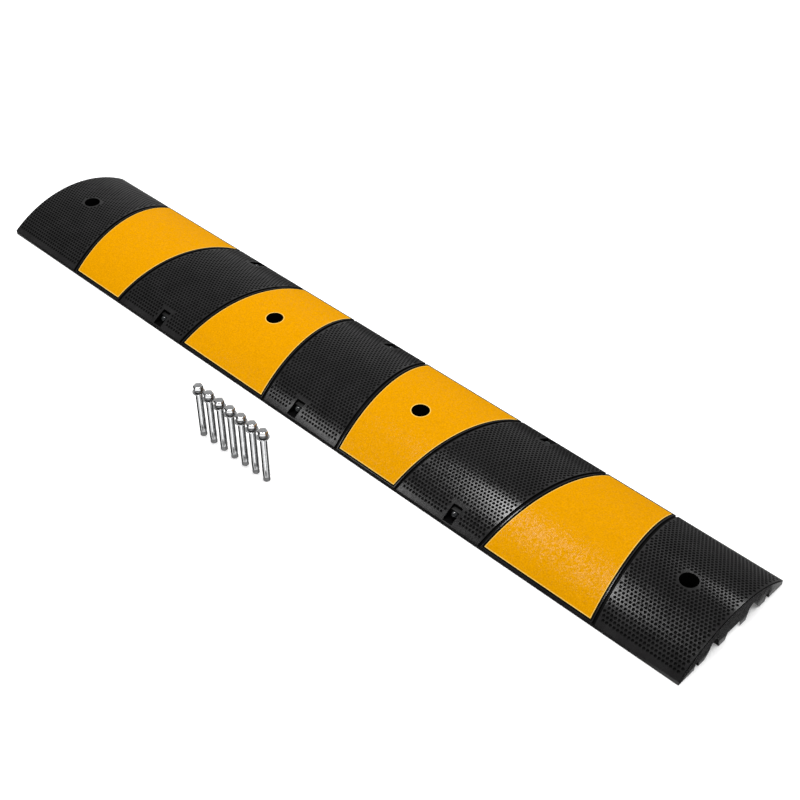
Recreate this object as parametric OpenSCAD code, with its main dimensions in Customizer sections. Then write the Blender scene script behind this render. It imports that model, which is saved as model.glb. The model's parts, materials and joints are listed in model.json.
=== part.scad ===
// Two-channel rubber speed bump with reflective panels, cat's-eye side reflectors
// and the set of seven sleeve anchors that fix it to the road.
// Origin at the middle of the base, X along the bump, Y across it, Z up.

/* [Rubber body] */
// Length of the bump along X
body_length = 1830; // [1810:1:1880]
// Width of the bump across the road
body_width = 300; // [295:1:320]
// Height of the crown above the road
body_height = 57; // [54:0.5:64]
// Height of the upright front and rear edges
edge_height = 9; // [6:0.5:12]
// Half the spacing of neighbouring panels: holes, panels and reflectors all follow it
pitch = 205; // [202:0.5:208]

/* [Bolt holes] */
// Diameter of the through hole for a sleeve anchor
hole_d = 16; // [15:0.5:18]
// Diameter of the counterbore that takes the washer and the socket
counterbore_d = 34; // [30:0.5:36]
// Height of the counterbore's shoulder above the road
shoulder_height = 20; // [18:0.5:26]
// Diameter of the solid boss round each hole
boss_d = 46; // [42:1:50]

/* [Underside channels] */
// Height of the two cable channels
cable_height = 30; // [26:0.5:32]
// Distance from the centre line to the middle of a cable channel's arch
cable_centre = 54.5; // [53:0.5:56]
// Radius of a cable channel's arch
cable_radius = 12; // [10:0.5:13]
// Width of the middle channel at the road
middle_width = 44; // [40:1:48]
// Height of the middle channel and of the two small outer channels
relief_height = 15; // [12:0.5:16]

/* [Reflective panels] */
// Width of a panel on the centre line
panel_width = 188; // [180:1:196]
// Sideways lean of a panel's ends, per unit of Y
panel_slant = 0.16; // [0:0.01:0.2]
// Half of a panel's reach across the bump
panel_reach = 146.5; // [140:0.5:147]
// Thickness of the reflective film
panel_thickness = 0.6; // [0.4:0.1:0.8]
// Depth of the seat that the film lies in
seat_depth = 1.2; // [1:0.1:1.4]
// Gap between the film and the wall of its seat
seat_gap = 1.5; // [1:0.1:2]
// Width of rubber left between a bolt hole's counterbore and the film round it
film_rim = 0.8; // [0.5:0.1:3]

/* [Side reflectors] */
// Width of a reflector pocket along X
pocket_width = 22; // [21:0.5:26]
// Distance from the centre line to a pocket's back wall
pocket_back = 117; // [116:0.5:118]
// Distance from the centre line to a pocket's lip
pocket_lip = 148; // [145:0.5:148]
// Height of a pocket's floor above the road
pocket_floor = 5; // [4:0.5:6]
// Height of the pocket's floor where it ramps out to the lip
ramp_top = 9.4; // [8:0.1:9.6]
// Diameter of the glass bead
bead_d = 14; // [12:0.5:14]

/* [Sleeve anchors] */
// Distance between neighbouring anchors in the row
anchor_pitch = 30; // [28:1:40]
// Distance of the anchor row in front of the centre line
anchor_row_y = -290; // [-400:1:-250]
// Outer diameter of the sleeve
sleeve_d = 14; // [14:0.5:14]
// Length of the sleeve
sleeve_length = 95; // [70:1:120]
// Length of the cone nut that shows below the sleeve
cone_showing = 10.6; // [9:0.1:12]
// Nominal diameter of the bolt's shank
bolt_d = 10; // [10:0.5:10]
// Width across the flats of the bolt's head
head_flats = 17; // [16:0.5:18]
// Height of the bolt's head
head_height = 7.4; // [6:0.1:8]
// Free space under the head before the anchor is tightened
head_gap = 7; // [6.6:0.1:10]
// Outer diameter of the flat washer
washer_d = 24; // [20:0.5:28]

/* [Hidden] */

panel_numbers = [1, 2, 3, 4];
reflector_numbers = [1, 2, 3, 4, 5, 6];
anchor_numbers = [1, 2, 3, 4, 5, 6, 7];
function numbered(name, numbers) = [for (n = numbers) str(name, "_", n)];

// A cut runs this far past the face it opens, or only just past it where it is tapered
past = 1;
just_past = 0.001;
fine = 64;
crown_fine = 360;

// The crown is one round arc over the two edges
crown_rise = body_height - edge_height;
crown_radius = (pow(body_width / 2, 2) + pow(crown_rise, 2)) / (2 * crown_rise);
crown_axis_z = body_height - crown_radius;

hole_places = [-4 * pitch, -pitch, pitch, 4 * pitch];
panel_places = [-3 * pitch, -pitch, pitch, 3 * pitch];
pocket_places = [-2 * pitch, 0, 2 * pitch];

// Feet of the cable channel's straight walls, measured from the centre line
cable_inner_foot = 38;
cable_outer_foot = 80;
// The middle channel narrows by this much a side towards its roof
middle_lean = 5;
outer_channel_in = 95;
outer_channel_out = 108;
outer_channel_lean = 2;

// The pocket's floor is level under the reflector and ramps up from here
ramp_start = 131;

// The bead is cupped by its holder, which fills the back of the pocket
bead_y = 127;
bead_z = 14.3;
holder_side_gap = 0.3;
holder_depth = 8;
holder_height = 17;
holder_socket_gap = 0.1;

sleeve_bore_d = 10.9;
sleeve_mouth_d = 13;
sleeve_flare = 12;
slot_width = 2.2;
slot_low = 2;
slot_length = 18;
slit_width = 0.8;
slot_count = 4;
cone_base_d = 13.3;
cone_tip_d = 10.3;
cone_land = 3;
cone_length = 20;
thread_d = 9.2;
thread_clearance = 0.1;
thread_length = 40;
bolt_end_z = 1.5;
washer_thickness = 2;
washer_hole_d = 10.8;
spring_d = 18;
spring_hole_d = 11.4;
spring_thickness = 2.4;
spring_tilt = 12;
spring_split = 1.6;
head_dome = 13;

washer_z = cone_showing + sleeve_length;
head_z = washer_z + washer_thickness + head_gap;

// --- helpers -------------------------------------------------------------

// Extrudes a Y-Z outline along the whole length of the bump
module along_bump(length) {
    rotate([90, 0, 90])
        linear_extrude(height = length, center = true)
            children();
}

module crown_cylinder(radius, length) {
    translate([0, 0, crown_axis_z])
        rotate([0, 90, 0])
            cylinder(r = radius, h = length, center = true, $fn = crown_fine);
}

// Plan outline of one panel: its two ends lean apart, or together when flare is -1
module panel_outline(flare, margin) {
    half = panel_width / 2 + margin;
    reach = panel_reach + margin;
    lean = flare * panel_slant * reach;
    polygon([
        [-half + lean, -reach],
        [half - lean, -reach],
        [half + lean, reach],
        [-half - lean, reach]
    ]);
}

// A slice of the crown's skin under a panel's outline
module crown_slice(flare, margin, inner, outer) {
    intersection() {
        difference() {
            crown_cylinder(outer, body_length);
            crown_cylinder(inner, body_length + 2 * past);
        }
        linear_extrude(height = body_height + 2 * seat_depth)
            panel_outline(flare, margin);
    }
}

// Neighbouring panels flare in opposite directions
function panel_flare(i) = i % 2 == 0 ? 1 : -1;

// The anchors stand in a row centred on the bump's length
module at_anchor(n) {
    middle = (len(anchor_numbers) + 1) / 2;
    translate([(n - middle) * anchor_pitch, anchor_row_y, 0])
        children();
}

// Reflectors 1 to 3 face the front, 4 to 6 the rear
module at_reflector(n) {
    front = n <= 3;
    translate([pocket_places[(n - 1) % 3], 0, 0])
        rotate([0, 0, front ? 0 : 180])
            children();
}

// --- rubber body ---------------------------------------------------------

module body_blank() {
    intersection() {
        translate([-body_length / 2, -body_width / 2, 0])
            cube([body_length, body_width, body_height]);
        crown_cylinder(crown_radius, body_length + 2 * past);
    }
}

module cable_channel() {
    arch_z = cable_height - cable_radius;
    along_bump(body_length + 2 * past)
        polygon([
            [cable_inner_foot, -past],
            [cable_outer_foot, -past],
            [cable_centre + cable_radius, arch_z],
            [cable_centre - cable_radius, arch_z]
        ]);
    translate([0, cable_centre, arch_z])
        rotate([0, 90, 0])
            cylinder(r = cable_radius, h = body_length + 2 * past, center = true, $fn = fine);
}

module outer_channel() {
    along_bump(body_length + 2 * past)
        polygon([
            [outer_channel_in, -past],
            [outer_channel_out, -past],
            [outer_channel_out - outer_channel_lean, relief_height],
            [outer_channel_in + outer_channel_lean, relief_height]
        ]);
}

// The middle channel stops at the solid boss round each bolt hole
module middle_channel() {
    foot = middle_width / 2;
    difference() {
        along_bump(body_length + 2 * past)
            polygon([
                [-foot, -past],
                [foot, -past],
                [foot - middle_lean, relief_height],
                [middle_lean - foot, relief_height]
            ]);
        for (x = hole_places)
            translate([x, 0, -2 * past])
                cylinder(d = boss_d, h = relief_height + 4 * past, $fn = fine);
    }
}

module bolt_hole() {
    translate([0, 0, -past])
        cylinder(d = hole_d, h = body_height, $fn = fine);
    translate([0, 0, shoulder_height])
        cylinder(d = counterbore_d, h = body_height, $fn = fine);
}

// Pocket with an upright back wall and a floor that ramps out to the lip
module reflector_pocket() {
    rotate([90, 0, 90])
        linear_extrude(height = pocket_width, center = true)
            polygon([
                [-pocket_back, pocket_floor],
                [-pocket_back, body_height],
                [-pocket_lip, body_height],
                [-pocket_lip, ramp_top],
                [-ramp_start, pocket_floor]
            ]);
}

module rubber_body() {
    color([0.05, 0.05, 0.05])
        difference() {
            body_blank();
            for (side = [0, 1])
                mirror([0, side, 0]) {
                    cable_channel();
                    outer_channel();
                }
            middle_channel();
            for (x = hole_places)
                translate([x, 0, 0])
                    bolt_hole();
            for (i = [0:3])
                translate([panel_places[i], 0, 0])
                    crown_slice(panel_flare(i), seat_gap, crown_radius - seat_depth, crown_radius + past);
            for (n = reflector_numbers)
                at_reflector(n)
                    reflector_pocket();
        }
}

// --- reflective panels ---------------------------------------------------

// Film that follows the crown; the two inner panels are cut out round a bolt hole
module reflective_panel(n) {
    i = n - 1;
    floor_radius = crown_radius - seat_depth;
    has_hole = n == 2 || n == 3;
    color([0.93, 0.6, 0.05])
        translate([panel_places[i], 0, 0])
            difference() {
                crown_slice(panel_flare(i), 0, floor_radius, floor_radius + panel_thickness);
                if (has_hole)
                    cylinder(d = counterbore_d + 2 * film_rim, h = body_height + past, $fn = fine);
            }
}

// --- side reflectors -----------------------------------------------------

module bead_ball(radius) {
    translate([0, -bead_y, bead_z])
        sphere(r = radius, $fn = fine);
}

// Holder that stands against the pocket's back wall and cups the bead
module reflector_seat(n) {
    width = pocket_width - 2 * holder_side_gap;
    color([0.12, 0.12, 0.13])
        at_reflector(n)
            difference() {
                translate([-width / 2, -pocket_back - holder_depth, pocket_floor])
                    cube([width, holder_depth, holder_height]);
                bead_ball(bead_d / 2 + holder_socket_gap);
            }
}

module reflector_bead(n) {
    color([0.85, 0.9, 0.95])
        at_reflector(n)
            bead_ball(bead_d / 2);
}

// --- sleeve anchors ------------------------------------------------------

module anchor_bolt(n) {
    corner_d = head_flats / cos(30);
    shank_z = bolt_end_z + thread_length;
    color([0.78, 0.79, 0.8])
        at_anchor(n) {
            translate([0, 0, bolt_end_z])
                cylinder(d = thread_d, h = thread_length, $fn = fine);
            translate([0, 0, shank_z])
                cylinder(d = bolt_d, h = head_z - shank_z, $fn = fine);
            intersection() {
                translate([0, 0, head_z])
                    cylinder(d = corner_d, h = head_height, $fn = 6);
                translate([0, 0, head_z + head_height - head_dome])
                    sphere(r = head_dome, $fn = fine);
            }
        }
}

module anchor_cone(n) {
    color([0.42, 0.43, 0.45])
        at_anchor(n)
            difference() {
                union() {
                    cylinder(d = cone_base_d, h = cone_land, $fn = fine);
                    translate([0, 0, cone_land])
                        cylinder(d1 = cone_base_d, d2 = cone_tip_d, h = cone_length - cone_land, $fn = fine);
                }
                translate([0, 0, -past])
                    cylinder(d = thread_d + thread_clearance, h = cone_length + 2 * past, $fn = fine);
            }
}

// One slot that frees a pair of fingers: a long eye over a narrow slit
module sleeve_slot() {
    eye_low = slot_low + slot_width / 2;
    eye_high = slot_low + slot_length - slot_width / 2;
    translate([0, -slit_width / 2, -past])
        cube([sleeve_d, slit_width, eye_low + past]);
    translate([0, -slot_width / 2, eye_low])
        cube([sleeve_d, slot_width, eye_high - eye_low]);
    for (z = [eye_low, eye_high])
        translate([0, 0, z])
            rotate([0, 90, 0])
                cylinder(d = slot_width, h = sleeve_d, $fn = fine);
}

module anchor_sleeve(n) {
    color([0.8, 0.81, 0.82])
        at_anchor(n)
            translate([0, 0, cone_showing])
                difference() {
                    cylinder(d = sleeve_d, h = sleeve_length, $fn = fine);
                    translate([0, 0, -past])
                        cylinder(d = sleeve_bore_d, h = sleeve_length + 2 * past, $fn = fine);
                    translate([0, 0, -just_past])
                        cylinder(d1 = sleeve_mouth_d, d2 = sleeve_bore_d, h = sleeve_flare, $fn = fine);
                    for (k = [0:slot_count - 1])
                        rotate([0, 0, k * 360 / slot_count - 45])
                            sleeve_slot();
                }
}

module anchor_washer(n) {
    color([0.75, 0.76, 0.78])
        at_anchor(n)
            translate([0, 0, washer_z])
                difference() {
                    cylinder(d = washer_d, h = washer_thickness, $fn = fine);
                    translate([0, 0, -past])
                        cylinder(d = washer_hole_d, h = washer_thickness + 2 * past, $fn = fine);
                }
}

// Split ring that lies loose and tilted on the flat washer
module anchor_spring_washer(n) {
    lift = spring_d / 2 * sin(spring_tilt) + spring_thickness / 2 * cos(spring_tilt);
    cut_height = spring_thickness + 2 * past;
    color([0.5, 0.5, 0.52])
        at_anchor(n)
            translate([0, 0, washer_z + washer_thickness + lift])
                rotate([0, -spring_tilt, 0])
                    difference() {
                        cylinder(d = spring_d, h = spring_thickness, center = true, $fn = fine);
                        cylinder(d = spring_hole_d, h = cut_height, center = true, $fn = fine);
                        translate([0, -spring_split / 2, -cut_height / 2])
                            cube([spring_d, spring_split, cut_height]);
                    }
}

// --- assembly ------------------------------------------------------------

rubber_body();
for (n = panel_numbers)
    reflective_panel(n);
for (n = reflector_numbers)
    reflector_seat(n);
for (n = reflector_numbers)
    reflector_bead(n);
for (n = anchor_numbers)
    anchor_bolt(n);
for (n = anchor_numbers)
    anchor_cone(n);
for (n = anchor_numbers)
    anchor_sleeve(n);
for (n = anchor_numbers)
    anchor_washer(n);
for (n = anchor_numbers)
    anchor_spring_washer(n);
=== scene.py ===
"""Looks of the rubber speed bump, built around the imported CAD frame. Lengths are in metres."""

import json
import math

import bpy
import numpy as np
from mathutils import Matrix, Vector


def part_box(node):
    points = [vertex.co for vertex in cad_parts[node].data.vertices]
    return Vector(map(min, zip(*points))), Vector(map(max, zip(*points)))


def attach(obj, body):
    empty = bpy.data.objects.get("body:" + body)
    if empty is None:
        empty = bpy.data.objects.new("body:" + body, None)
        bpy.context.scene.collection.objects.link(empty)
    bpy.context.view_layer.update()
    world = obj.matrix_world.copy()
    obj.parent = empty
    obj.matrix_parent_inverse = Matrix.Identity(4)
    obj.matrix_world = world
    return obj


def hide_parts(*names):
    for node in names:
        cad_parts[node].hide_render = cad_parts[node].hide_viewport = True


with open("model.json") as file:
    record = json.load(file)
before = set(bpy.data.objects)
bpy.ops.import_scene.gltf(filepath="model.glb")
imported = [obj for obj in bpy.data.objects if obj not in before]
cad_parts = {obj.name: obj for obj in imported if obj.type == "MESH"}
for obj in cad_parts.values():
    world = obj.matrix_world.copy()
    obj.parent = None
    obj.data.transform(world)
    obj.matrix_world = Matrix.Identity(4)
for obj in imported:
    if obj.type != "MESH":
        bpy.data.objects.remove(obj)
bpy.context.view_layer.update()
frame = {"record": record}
MM = 0.001

# --- sizes taken from the frame ---

BODY_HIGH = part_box("rubber_body")[1]
HALF_LENGTH = BODY_HIGH.x
HALF_WIDTH = BODY_HIGH.y
HEIGHT = BODY_HIGH.z
MOUNTS = {m["name"]: m for m in frame["record"]["mounts"]}
HOLE_PLACES = [
    side * MOUNTS[name]["dims"]["spacing_x_mm"] * MM / 2
    for name in ("inner_bolts", "outer_bolts")
    for side in (-1, 1)
]
HOLE_RADIUS = MOUNTS["inner_bolts"]["dims"]["hole_r_mm"] * MM
PANELS = [1, 2, 3, 4]
REFLECTORS = [1, 2, 3, 4, 5, 6]
ANCHORS = [1, 2, 3, 4, 5, 6, 7]


def middle(node):
    """Centre of a CAD node's box."""
    low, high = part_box(node)
    return (low + high) / 2


PANEL_PLACES = {n: middle(f"reflective_panel_{n}").x for n in PANELS}
POCKET_PLACES = [middle(f"reflector_seat_{n}") for n in REFLECTORS]

# --- sizes of the rubber moulding ---

EDGE_HEIGHT = 9 * MM
RISE = HEIGHT - EDGE_HEIGHT
CROWN_RADIUS = (HALF_WIDTH**2 + RISE**2) / (2 * RISE)
CROWN_AXIS_Z = HEIGHT - CROWN_RADIUS
EDGE_ROUNDING = 1.4 * MM
BASE_ROUNDING = 0.6 * MM
PAST = 2 * MM  # how far a cutter runs past the face that it opens
END_ROUNDING = 1.2 * MM
# Stations of a rounded end, as shares of its rounding: in from the end, and inset of the section
END_STATIONS = [(0, 1), (0.3, 0.3), (1, 0)]

COUNTERBORE_RADIUS = 17 * MM
SHOULDER_HEIGHT = 20 * MM
SHOULDER_FILLET = 0.8 * MM
MOUTH_ROUNDING = 0.7 * MM
HOLE_CHAMFER = 0.6 * MM
BOSS_RADIUS = 23 * MM
CABLE_ARCH_RADIUS = 12 * MM
CABLE_CENTRE = 54.5 * MM
CABLE_HEIGHT = 30 * MM
CABLE_FEET = (38 * MM, 80 * MM)
MIDDLE_HALF_WIDTH = 22 * MM
MIDDLE_LEAN = 5 * MM
RELIEF_HEIGHT = 15 * MM
OUTER_CHANNEL = (95 * MM, 108 * MM)
OUTER_LEAN = 2 * MM

# Dimples lie in rows along X, and each strip of the crown's facets holds one row
ROW = 6.45 * MM
CELL = 7.6 * MM
DIMPLE_FLATS = 5.3 * MM
DIMPLE_WALL = 0.30 * MM
DIMPLE_WALL_SLOPE = math.radians(62)
DIMPLE_CONE_SLOPE = math.radians(17)
DIMPLE_REACH = 141 * MM
LAST_LINE = math.floor(DIMPLE_REACH / ROW) + 1

# A panel's border, outwards from the film's edge: a gap, a rib, a groove and a plain rim
FILM_SLANT = 0.16
FILM_HALF_WIDTH = 94 * MM
FILM_REACH = 146.5 * MM
FILM_THICKNESS = 0.6 * MM
FILM_RIM = 0.8 * MM
SEAT_DEPTH = 1.2 * MM
SEAT_GAP = 2.4 * MM
RIB_WIDTH = 4.0 * MM
GROOVE_WIDTH = 4.6 * MM
GROOVE_DEPTH = 2.8 * MM
GROOVE_FILLET = 0.5 * MM
GROOVE_DRAFT = 0.1 * MM
RIB_ROUNDING = (1.7 * MM, 0.9 * MM)
RIM_ROUNDING = (1.1 * MM, 0.7 * MM)
PLAIN_RIM = 1.1 * MM
BORDER = SEAT_GAP + RIB_WIDTH + GROOVE_WIDTH
# Where a rounded shoulder starts: share of its width past its curve, and height above the crown
SHOULDER_LEAD = (0.6, 0.25 * MM)
# How far the top of a panel's cutters leans out, and how high it stands above the crown
CUTTER_FLARE = 2 * MM
CUTTER_TOP = 3 * MM

POCKET_WIDTH = 22 * MM
POCKET_BACK = 117 * MM
POCKET_LIP = 148 * MM
POCKET_FLOOR = 5 * MM
RAMP_START = 131 * MM
RAMP_TOP = 9.4 * MM
# Plain rubber left round what the dimples keep clear of
POCKET_MARGIN = 2.2 * MM
HOLE_MARGIN = 2.0 * MM
END_MARGIN = 2.5 * MM

# Tests that sort the moulding's faces for shading, and for the dark rubber that paints shade in
# dimples and recesses
RECESS_DEPTH = 0.55 * MM  # the least depth under the crown of a face inside a recess
TOUCH = 0.1 * MM  # how far past a wall still counts as on it
CROWN_TOLERANCE = 0.05 * MM
SKIN_DEPTH = 1.6 * MM  # the layer under the crown that holds every dimple
FACET_AREA = 8 * MM**2  # more than any facet of a dimple
CROWN_LEAN = 0.98  # the least cosine between a crown face and the crown's own normal
FACET_LEAN = 0.3  # the same for a facet of a dimple

# --- sizes of the films, reflectors and anchors ---

FILM_EDGE = 1.3 * MM
FILM_STEPS = 80
FILM_HOLE_RADIUS = COUNTERBORE_RADIUS + FILM_RIM
HOLE_STEPS = 72
# A film's side edges in section: distance out from the edge, and height over its underside
FILM_FOOT = [(-0.05 * MM, 0), (0, 0.1 * MM)]
# The same above: distance out from the edge, and depth under its top
FILM_SHOULDER = [(0, 0.2 * MM), (-0.12 * MM, 0.05 * MM), (-0.35 * MM, 0), (-FILM_EDGE, 0)]
# A film's front and rear edges: distance in from its end, and drop of its top
FILM_END = [(0, 0.25 * MM), (0.1 * MM, 0.08 * MM), (0.3 * MM, 0), (FILM_EDGE, 0)]
LIP_WIDTH = 1.7 * MM
LIP_FOOT = 0.1 * MM
# Top of the lip round a film's hole, from outside in: share of its width, and height over the film
LIP_TOP = [(1, 0), (0.7, 0.16 * MM), (0.3, 0.16 * MM), (0, -0.1 * MM)]

BEAD_RIDGE = 0.35 * MM
BEAD_RIDGE_SPREAD = 0.06  # in radians of latitude
SOCKET_GAP = 0.1 * MM
HOLDER_ROUNDING = 1.0 * MM
# A holder's rounded front: distance in from its face as a share of its rounding, share of its size
HOLDER_FRONT = [(1, 1), (0.3, 0.985), (0, 0.95)]

HEAD_FLATS = 17 * MM
HEAD_HEIGHT = 7.4 * MM
HEAD_STEPS = 96
HEAD_FILLET = (0.5 * MM, 0.6 * MM)  # under the head: out from the shank, and down along it
HEAD_OVERLAP = 0.1 * MM  # how far the shank runs into the head before they are joined
# Rings of the head's foot: share of the radius, lift, how hexagonal, rise towards the corners
HEAD_FOOT = [
    (0.62, 0, 0, 0),
    (0.94, 0, 0, 0),
    (0.95, 0.3 * MM, 0, 0),
    (1.0, 0.35 * MM, 1, 0.45),
]
# Rings of the head's top from its rim inwards: share of the radius, drop, how hexagonal
HEAD_TOP = [
    (1.0, 2.4 * MM, 1.0),
    (0.985, 1.6 * MM, 0.95),
    (0.94, 0.95 * MM, 0.85),
    (0.87, 0.55 * MM, 0.7),
    (0.75, 0.32 * MM, 0.4),
    (0.5, 0.14 * MM, 0.0),
    (0.25, 0.04 * MM, 0.0),
]
HEAD_TURN = math.radians(15)
SHANK_RADIUS = 5 * MM
THREAD_RADIUS = 4.6 * MM
THREAD_DEPTH = 0.75 * MM
THREAD_PITCH = 1.5 * MM
THREAD_LENGTH = 40 * MM
THREAD_START = 0.8 * MM
THREAD_ROWS = 6  # rows of points in each turn
THREAD_FLANK = 1.35  # over 1, it cuts the thread's crests flat
TIP_CHAMFER = 0.6 * MM
SHANK_STEP = 0.5 * MM
ROUND_OFF = 1e-6

CONE_TIP_RADIUS = 5.15 * MM
CONE_LAND = 3 * MM
CONE_PLAY = 0.05 * MM
CONE_CHAMFER = 0.3 * MM
CONE_ROUNDING = 0.5 * MM
CONE_RIBS = 20
RIB_DEPTH = 0.45 * MM
RIB_START = 0.2 * MM
RIB_END = 9.5 * MM
RIB_FULLNESS = 0.6

SLEEVE_RADIUS = 7 * MM
SLEEVE_BORE = 5.45 * MM
SLEEVE_MOUTH = 6.5 * MM
FLARE_HEIGHT = 12 * MM
BORE_CHAMFER = 0.2 * MM
MOUTH_CHAMFER = 0.1 * MM
# The sleeve's rounded ends: distance in from its outside, and distance from the end
SLEEVE_FOOT = [(0.35 * MM, 0), (0.08 * MM, 0.1 * MM), (0, 0.45 * MM)]
SLEEVE_TOP = [(0, 0.4 * MM), (0.12 * MM, 0.1 * MM), (0.4 * MM, 0)]
AXIS_CLEAR = 0.5 * MM  # where a cutter through one side of the sleeve starts
SLOT_WIDTH = 3.0 * MM
SLOT_LOW = 2 * MM
SLOT_LENGTH = 18 * MM
SLOT_BIAS = 0.8  # under 1, the slot is widest below its middle
SLOT_FULLNESS = 0.85
SLOT_TIP = 1.02
SLIT_WIDTH = 0.8 * MM
SEAM_WIDTH = 0.45 * MM
SEAM_ANGLE = math.radians(-28)

WASHER_BORE = 5.4 * MM
WASHER_ROUNDING = 0.5 * MM
WASHER_CHAMFERS = (0.15 * MM, 0.2 * MM, 0.3 * MM)  # bore below, rim below, bore above

SPRING_RADIUS = 9 * MM
SPRING_BORE = 5.7 * MM
SPRING_THICKNESS = 2.2 * MM
SPRING_ROUNDING = 0.25 * MM
SPRING_STEPS = 72
SPRING_RISE = 0.2 * MM
SPRING_SPLIT = 1.6 * MM
SPRING_TILT = math.radians(12)


# --- mesh helpers ---


def new_object(name, points, faces):
    mesh = bpy.data.meshes.new(name)
    mesh.from_pydata([tuple(p) for p in points], [], faces)
    mesh.validate()
    return add(bpy.data.objects.new(name, mesh))


def add(thing):
    """Puts a new object into the scene."""
    bpy.context.scene.collection.objects.link(thing)
    return thing


def loft(name, rings, closed=False, tips=None):
    """Joins rings of equal counts of points.

    closed joins the last ring to the first one. tips are two points that close the ends, in place of
    flat faces.
    """
    count = len(rings[0])
    points = [p for ring in rings for p in ring]
    faces = []
    spans = len(rings) if closed else len(rings) - 1
    for i in range(spans):
        a, b = i * count, (i + 1) % len(rings) * count
        for k in range(count):
            n = (k + 1) % count
            faces.append((a + k, a + n, b + n, b + k))
    last = (len(rings) - 1) * count
    if tips:
        first_tip = len(points)
        points += tips
        for k in range(count):
            n = (k + 1) % count
            faces.append((n, k, first_tip))
            faces.append((last + k, last + n, first_tip + 1))
    elif not closed:
        faces.append(tuple(reversed(range(count))))
        faces.append(tuple(last + k for k in range(count)))
    return outward(new_object(name, points, faces))


def outward(piece):
    """Turns a closed mesh's faces so that they face out."""
    mesh = piece.data
    mesh.calc_loop_triangles()
    points = np.array([v.co for v in mesh.vertices])
    corners = np.array([t.vertices for t in mesh.loop_triangles])
    a, b, c = (points[corners[:, k]] for k in range(3))
    if np.einsum("ij,ij->i", a, np.cross(b, c)).sum() < 0:
        mesh.flip_normals()
    return piece


def turned(radius, z, angle, radius_at=None):
    """A point at an angle round Z. radius_at(radius, z, angle) may change its radius."""
    if radius_at:
        radius = radius_at(radius, z, angle)
    return Vector((radius * math.cos(angle), radius * math.sin(angle), z))


def lathe(name, outline, steps, radius_at=None):
    """Turns a closed outline of (radius, z) points, clear of the axis, round Z."""
    angles = [math.tau * i / steps for i in range(steps)]
    rings = [[turned(r, z, angle, radius_at) for r, z in outline] for angle in angles]
    return loft(name, rings, closed=True)


def solid_of_revolution(name, outline, steps, place=Vector((0, 0, 0)), radius_at=None):
    """Closed solid from an outline whose first and last points lie on the axis."""
    angles = [math.tau * i / steps for i in range(steps)]
    rings = [[turned(r, z, angle, radius_at) + place for angle in angles] for r, z in outline[1:-1]]
    tips = [Vector((0, 0, z)) + place for z in (outline[0][1], outline[-1][1])]
    return loft(name, rings, tips=tips)


def boolean(piece, cutter, operation="DIFFERENCE"):
    """Applies one Boolean step to piece, and removes the cutter."""
    step = piece.modifiers.new(operation, "BOOLEAN")
    step.operation = operation
    step.object = cutter
    step.solver = "MANIFOLD"
    graph = bpy.context.evaluated_depsgraph_get()
    result = bpy.data.meshes.new_from_object(piece.evaluated_get(graph))
    piece.modifiers.clear()
    piece.data = result
    bpy.data.objects.remove(cutter)
    return piece


def paint(piece, *materials):
    """Gives a piece its materials, before any Boolean step so that the slots carry through."""
    piece.data.materials.clear()
    for material in materials:
        piece.data.materials.append(material)
    return piece


def arc(centre, radius, start, end, steps):
    """Points of an arc in a plane, from one angle to another in degrees."""
    angles = [math.radians(start + (end - start) * k / steps) for k in range(steps + 1)]
    return [(centre[0] + radius * math.cos(a), centre[1] + radius * math.sin(a)) for a in angles]


def shade(piece, limit):
    """Smooth shading with edges over limit degrees kept sharp."""
    piece.data.polygons.foreach_set("use_smooth", [True] * len(piece.data.polygons))
    piece.data.set_sharp_from_angle(angle=math.radians(limit))
    return piece


# --- crown ---


def crown_z(y):
    return CROWN_AXIS_Z + math.sqrt(CROWN_RADIUS**2 - y * y)


def over_crown(x, y, lift):
    """The point that stands lift above the crown where its plan position is x, y."""
    share = 1 + lift / CROWN_RADIUS
    return (x, y * share, CROWN_AXIS_Z + (crown_z(y) - CROWN_AXIS_Z) * share)


def crown_stations(low, high):
    """The crown's strip lines between two values of Y, with both ends."""
    first = math.floor(low / ROW) + 1
    last = math.ceil(high / ROW) - 1
    return [low] + [k * ROW for k in range(first, last + 1)] + [high]


# --- rubber moulding ---


def body_section(inset):
    """Y-Z outline of the bump, drawn in by inset all round: crown, rounded sides and base."""
    edge = HALF_WIDTH - inset
    slope = math.asin(HALF_WIDTH / CROWN_RADIUS)
    turn_y = edge - EDGE_ROUNDING * (1 - math.sin(slope))
    lines = [-turn_y] + [k * ROW for k in range(-LAST_LINE, LAST_LINE + 1)] + [turn_y]
    crown = [over_crown(0, y, -inset)[1:] for y in lines]
    turn_z = crown[-1][1] - EDGE_ROUNDING * math.cos(slope)
    side = arc((edge - EDGE_ROUNDING, turn_z), EDGE_ROUNDING, 90 - math.degrees(slope), 0, 4)[1:]
    side += arc((edge - BASE_ROUNDING, inset + BASE_ROUNDING), BASE_ROUNDING, 0, -90, 3)
    return crown + side + [(-y, z) for y, z in reversed(side)]


def body_blank():
    """The bump without its cuts: one section along X, drawn in at both ends to round them."""
    ends = [(HALF_LENGTH - END_ROUNDING * run, END_ROUNDING * inset) for run, inset in END_STATIONS]
    rings = []
    for x, inset in [(-x, inset) for x, inset in ends] + list(reversed(ends)):
        rings.append([(x, y, z) for y, z in body_section(inset)])
    # The second material is the darker rubber that paints shade in dimples and recesses
    return paint(loft("rubber_moulding", rings), RUBBER, RUBBER_MATTE_SHADE)


def channel(name, outline, low_x, high_x):
    """A cutter with one Y-Z outline from low_x to high_x."""
    return loft(name, [[(x, y, z) for y, z in outline] for x in (low_x, high_x)])


def cable_outline(side):
    inner, outer = CABLE_FEET
    arch_z = CABLE_HEIGHT - CABLE_ARCH_RADIUS
    arch = arc((CABLE_CENTRE, arch_z), CABLE_ARCH_RADIUS, 0, 180, 14)
    outline = [(inner, -PAST), (outer, -PAST), (outer, 0)] + arch + [(inner, 0)]
    return [(side * y, z) for y, z in outline]


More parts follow.
